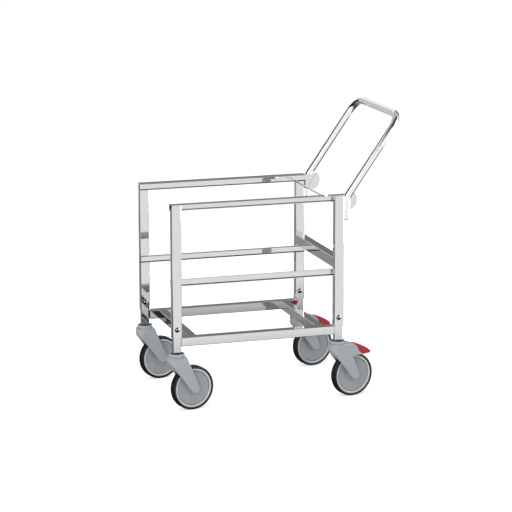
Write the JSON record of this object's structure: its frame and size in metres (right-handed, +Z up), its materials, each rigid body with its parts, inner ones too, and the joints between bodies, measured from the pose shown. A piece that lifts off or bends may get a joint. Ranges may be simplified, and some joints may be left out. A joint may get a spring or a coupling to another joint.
{
  "type": "equipment stand trolley",
  "caption": "Open polished steel tube stand on swivel castors with side rails, open front end, sloping push handle and brake pedals on the rear castors.",
  "frame": {"origin": "middle of the frame, on the floor; the castors stand turned 11 degrees at rest, as in the picture, so the whole outline reaches about 9 mm further to +Y than to -Y", "axes": "+Z up, +X towards the push handle, which is the rear, +Y to the right side, seen from the front"},
  "size_m": [0.6874, 0.399, 0.8085],
  "materials": {
    "polished_steel": "polished stainless steel tube, close to a mirror",
    "zinc_steel": "bright zinc plated",
    "black_plastic": "smooth black",
    "collar_plastic": "satin grey",
    "fork_plastic": "satin grey, moulded",
    "wheel_plastic": "satin mid grey, moulded",
    "tyre_rubber": "smooth dark rubber",
    "brake_red": "smooth red"
  },
  "bodies": {
    "frame": {"leg_front_left": "polished_steel", "stub_post_front_left": "polished_steel", "leg_rear_left": "polished_steel", "stub_post_rear_left": "polished_steel", "leg_front_right": "polished_steel", "stub_post_front_right": "polished_steel", "leg_rear_right": "polished_steel", "stub_post_rear_right": "polished_steel", "base_rail_caps": "polished_steel", "base_bar_front": "polished_steel", "base_bar_rear": "polished_steel", "mid_cross_bar": "polished_steel", "top_cross_rod": "polished_steel", "push_handle": "polished_steel", "top_rail_left": "polished_steel", "mid_rail_left": "polished_steel", "base_rail_left": "polished_steel", "handle_cheek_left": "polished_steel", "top_rail_right": "polished_steel", "mid_rail_right": "polished_steel", "base_rail_right": "polished_steel", "handle_cheek_right": "polished_steel", "leg_bolts": "zinc_steel", "leg_bolt_nuts": "zinc_steel", "castor_stems": "zinc_steel", "castor_stem_plugs": "black_plastic", "handle_end_plugs": "black_plastic", "castor_collars": "collar_plastic", "swivel_bearings": "zinc_steel"},
    "castor_front_left": {"castor_fork_front_left": "fork_plastic", "axle_front_left": "zinc_steel"},
    "road_wheel_front_left": {"wheel_centre_front_left": "wheel_plastic", "tyre_front_left": "tyre_rubber", "wheel_bearings_front_left": "zinc_steel"},
    "castor_rear_left": {"castor_fork_rear_left": "fork_plastic", "axle_rear_left": "zinc_steel", "brake_pin_rear_left": "zinc_steel", "brake_leaf_rear_left": "zinc_steel"},
    "road_wheel_rear_left": {"wheel_centre_rear_left": "wheel_plastic", "tyre_rear_left": "tyre_rubber", "wheel_bearings_rear_left": "zinc_steel"},
    "pedal_rear_left": {"brake_pedal_rear_left": "brake_red", "brake_pad_rear_left": "tyre_rubber"},
    "castor_front_right": {"castor_fork_front_right": "fork_plastic", "axle_front_right": "zinc_steel"},
    "road_wheel_front_right": {"wheel_centre_front_right": "wheel_plastic", "tyre_front_right": "tyre_rubber", "wheel_bearings_front_right": "zinc_steel"},
    "castor_rear_right": {"castor_fork_rear_right": "fork_plastic", "axle_rear_right": "zinc_steel", "brake_pin_rear_right": "zinc_steel", "brake_leaf_rear_right": "zinc_steel"},
    "road_wheel_rear_right": {"wheel_centre_rear_right": "wheel_plastic", "tyre_rear_right": "tyre_rubber", "wheel_bearings_rear_right": "zinc_steel"},
    "pedal_rear_right": {"brake_pedal_rear_right": "brake_red", "brake_pad_rear_right": "tyre_rubber"}
  },
  "joints": [
    {"name": "swivel_front_left", "type": "hinge", "parent": "frame", "child": "castor_front_left", "pos_m": [-0.31725, -0.171, 0.1567], "axis": [0, 0, 1], "continuous": true},
    {"name": "wheel_spin_front_left", "type": "hinge", "parent": "castor_front_left", "child": "road_wheel_front_left", "pos_m": [-0.27111, -0.16203, 0.0625], "axis": [-0.1908, 0.9816, 0], "continuous": true},
    {"name": "swivel_rear_left", "type": "hinge", "parent": "frame", "child": "castor_rear_left", "pos_m": [0.15475, -0.171, 0.1567], "axis": [0, 0, 1], "continuous": true},
    {"name": "wheel_spin_rear_left", "type": "hinge", "parent": "castor_rear_left", "child": "road_wheel_rear_left", "pos_m": [0.20089, -0.16203, 0.0625], "axis": [-0.1908, 0.9816, 0], "continuous": true},
    {"name": "brake_rear_left", "type": "hinge", "parent": "castor_rear_left", "child": "pedal_rear_left", "pos_m": [0.18027, -0.16604, 0.14], "axis": [-0.1908, 0.9816, 0], "range_deg": [0, 8]},
    {"name": "swivel_front_right", "type": "hinge", "parent": "frame", "child": "castor_front_right", "pos_m": [-0.31725, 0.171, 0.1567], "axis": [0, 0, 1], "continuous": true},
    {"name": "wheel_spin_front_right", "type": "hinge", "parent": "castor_front_right", "child": "road_wheel_front_right", "pos_m": [-0.27111, 0.17997, 0.0625], "axis": [-0.1908, 0.9816, 0], "continuous": true},
    {"name": "swivel_rear_right", "type": "hinge", "parent": "frame", "child": "castor_rear_right", "pos_m": [0.15475, 0.171, 0.1567], "axis": [0, 0, 1], "continuous": true},
    {"name": "wheel_spin_rear_right", "type": "hinge", "parent": "castor_rear_right", "child": "road_wheel_rear_right", "pos_m": [0.20089, 0.17997, 0.0625], "axis": [-0.1908, 0.9816, 0], "continuous": true},
    {"name": "brake_rear_right", "type": "hinge", "parent": "castor_rear_right", "child": "pedal_rear_right", "pos_m": [0.18027, 0.17596, 0.14], "axis": [-0.1908, 0.9816, 0], "range_deg": [0, 8]}
  ]
}
